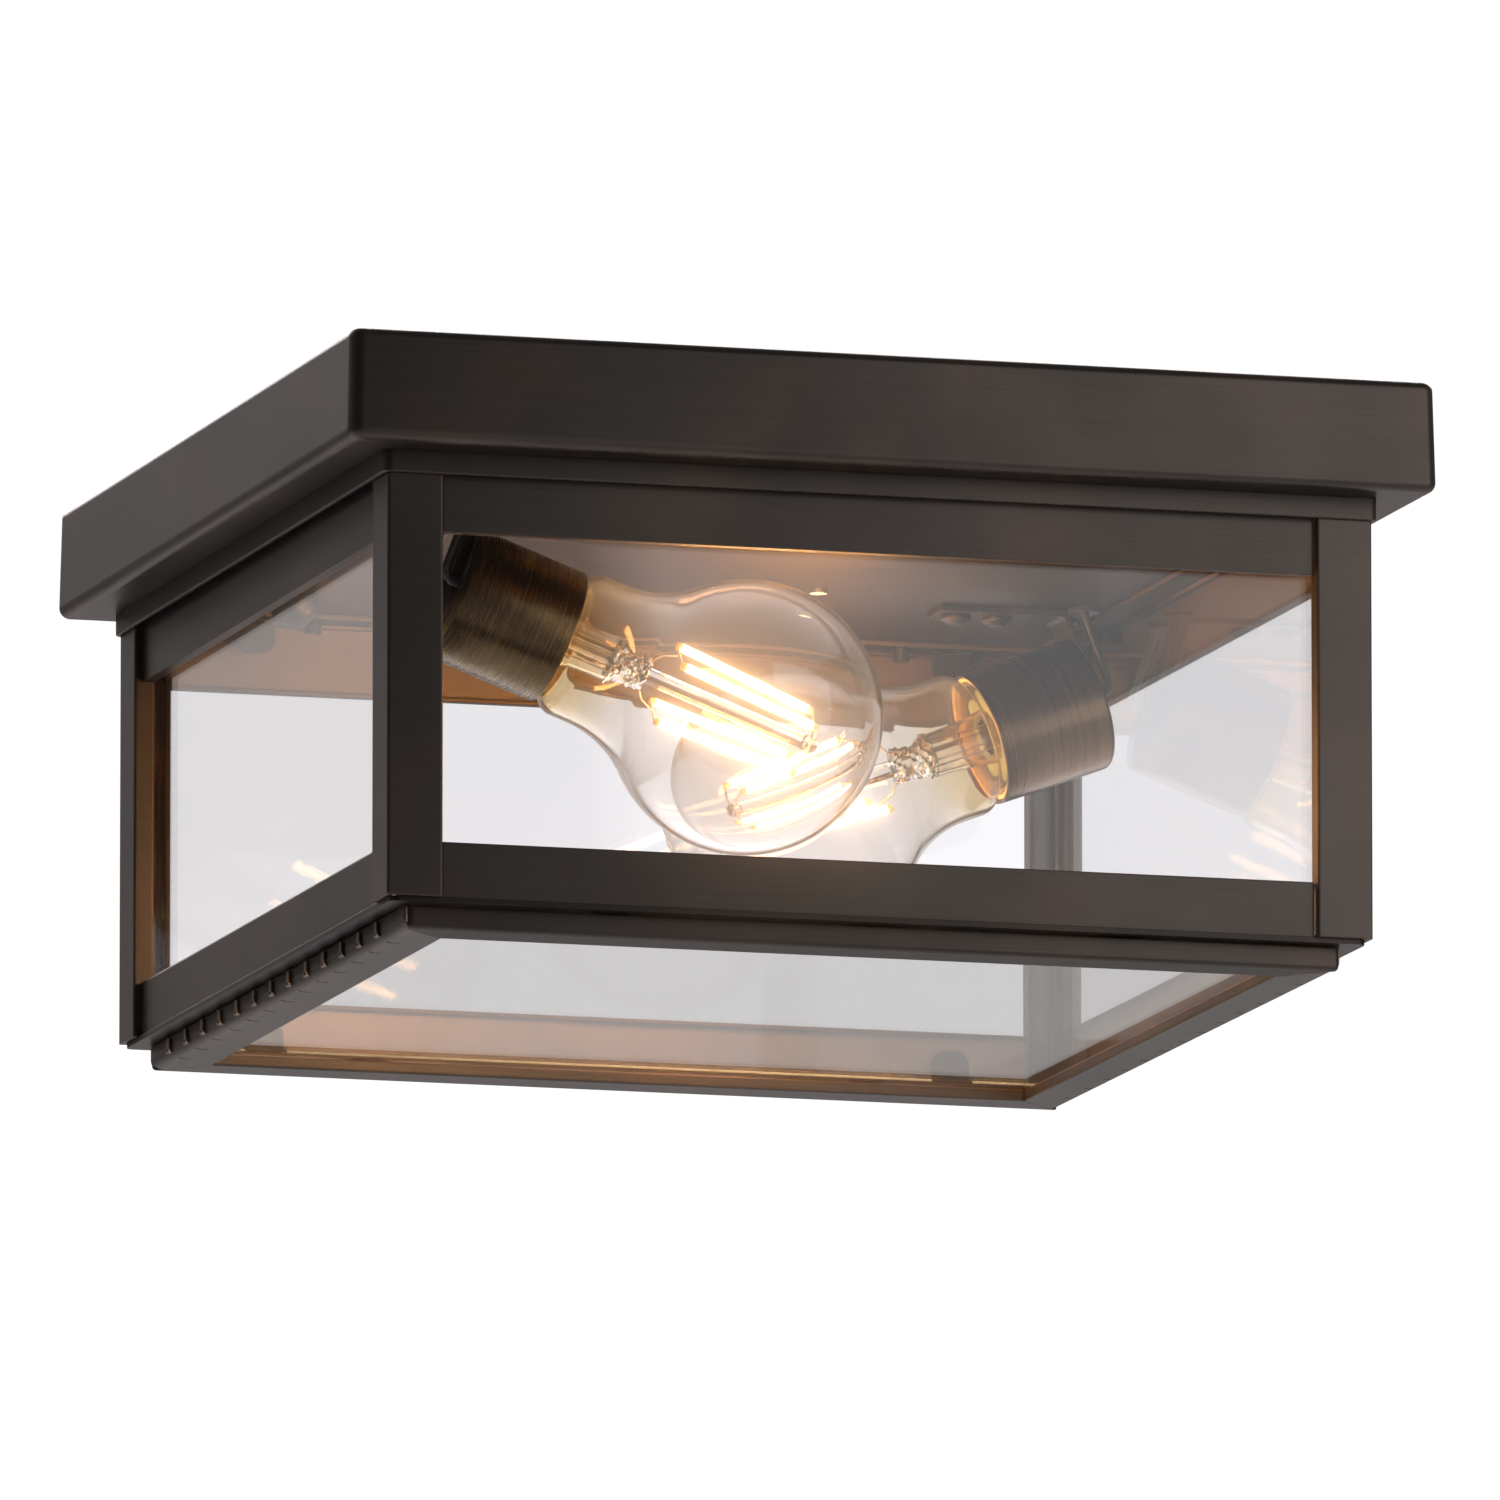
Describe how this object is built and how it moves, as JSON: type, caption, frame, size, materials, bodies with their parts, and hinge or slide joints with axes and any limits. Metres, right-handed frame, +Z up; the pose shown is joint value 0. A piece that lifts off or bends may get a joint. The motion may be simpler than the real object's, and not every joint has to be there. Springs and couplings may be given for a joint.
{
  "type": "square lantern ceiling light",
  "caption": "Square glass-sided lantern ceiling light in dark bronze with a deep canopy pan, louvred hinged bottom frame and tilted screw-in lamps.",
  "frame": {"origin": "on the ceiling plane at the middle of the ceiling box strap's slots", "axes": "+Z up to the ceiling, +X right along the front, +Y to the hinged back"},
  "size_m": [0.2558, 0.2558, 0.1333],
  "materials": {
    "bronze": "satin oil-rubbed bronze paint with fine brush grain",
    "plated_steel": "zinc-plated sheet steel and screws",
    "clear_glass": "clear flat glass",
    "bracket_bronze": "satin oil-rubbed bronze paint",
    "cup_brass": "antique brass, brushed around",
    "insulator": "moulded insulating sleeve",
    "contact_brass": "plain brass",
    "lamp_cap": "rolled screw cap",
    "lamp_glass": "clear blown glass",
    "filament": "coated glowing stick",
    "black_insulation": "insulated lead",
    "white_insulation": "insulated lead",
    "bare_copper": "bare copper wire",
    "connector_plastic": "moulded plastic"
  },
  "bodies": {
    "fixture": {"base_flange": "bronze", "black_leads": "black_insulation", "bottom_rail_back": "bronze", "bottom_rail_front": "bronze", "bottom_rail_left": "bronze", "bottom_rail_right": "bronze", "box_strap": "plated_steel", "bracket_screws": "plated_steel", "canopy_pan": "bronze", "cap_nuts": "bronze", "catch_spring": "plated_steel", "collar_screws": "plated_steel", "contact_leaves": "contact_brass", "corner_post_back_left": "bronze", "corner_post_back_right": "bronze", "corner_post_front_left": "bronze", "corner_post_front_right": "bronze", "glass_pane_back": "clear_glass", "glass_pane_front": "clear_glass", "glass_pane_left": "clear_glass", "glass_pane_right": "clear_glass", "ground_wire": "bare_copper", "hinge_pins": "bronze", "pane_clips": "plated_steel", "screw_shells": "contact_brass", "socket_bracket_left": "bracket_bronze", "socket_bracket_right": "bracket_bronze", "socket_cup_left": "cup_brass", "socket_cup_right": "cup_brass", "socket_insulator_left": "insulator", "socket_insulator_right": "insulator", "socket_screws": "plated_steel", "strap_hardware": "plated_steel", "stud_strap": "plated_steel", "top_collar": "bronze", "top_rail_back": "bronze", "top_rail_front": "bronze", "top_rail_left": "bronze", "top_rail_right": "bronze", "white_leads": "white_insulation", "wire_bushings": "connector_plastic", "wire_connectors": "connector_plastic"},
    "door": {"door_rail_front": "bronze", "door_rail_right": "bronze", "door_rail_back": "bronze", "door_rail_left": "bronze", "bottom_glass": "clear_glass", "glass_tabs": "plated_steel", "catch_tongue": "plated_steel"},
    "lamp_left_lift": {"bulb_contact_left": "contact_brass"},
    "lamp_left": {"bulb_glass_left": "lamp_glass", "bulb_cap_left": "lamp_cap", "bulb_stem_left": "lamp_glass", "bulb_filaments_left": "filament"},
    "lamp_right_lift": {"bulb_contact_right": "contact_brass"},
    "lamp_right": {"bulb_glass_right": "lamp_glass", "bulb_cap_right": "lamp_cap", "bulb_stem_right": "lamp_glass", "bulb_filaments_right": "filament"}
  },
  "joints": [
    {"name": "door_swing", "type": "hinge", "parent": "fixture", "child": "door", "pos_m": [0, 0.1125, -0.1302], "axis": [1, 0, 0], "range_deg": [0, 95]},
    {"name": "lamp_left_slide", "type": "slide", "parent": "fixture", "child": "lamp_left_lift", "axis": [0.9379, 0, -0.3469], "range_m": [0, 0.01815]},
    {"name": "lamp_left_turn", "type": "hinge", "parent": "lamp_left_lift", "child": "lamp_left", "pos_m": [-0.0589, -0.055, -0.056], "axis": [0.9379, 0, -0.3469], "range_deg": [0, 1800]},
    {"name": "lamp_right_slide", "type": "slide", "parent": "fixture", "child": "lamp_right_lift", "axis": [-0.9379, 0, -0.3469], "range_m": [0, 0.01815]},
    {"name": "lamp_right_turn", "type": "hinge", "parent": "lamp_right_lift", "child": "lamp_right", "pos_m": [0.0737, 0.055, -0.056], "axis": [-0.9379, 0, -0.3469], "range_deg": [0, 1800]}
  ],
  "couplings": [
    {"joint": "lamp_left_slide", "follows": "lamp_left_turn", "m_per_rad": 0.00057757},
    {"joint": "lamp_right_slide", "follows": "lamp_right_turn", "m_per_rad": 0.00057757}
  ]
}
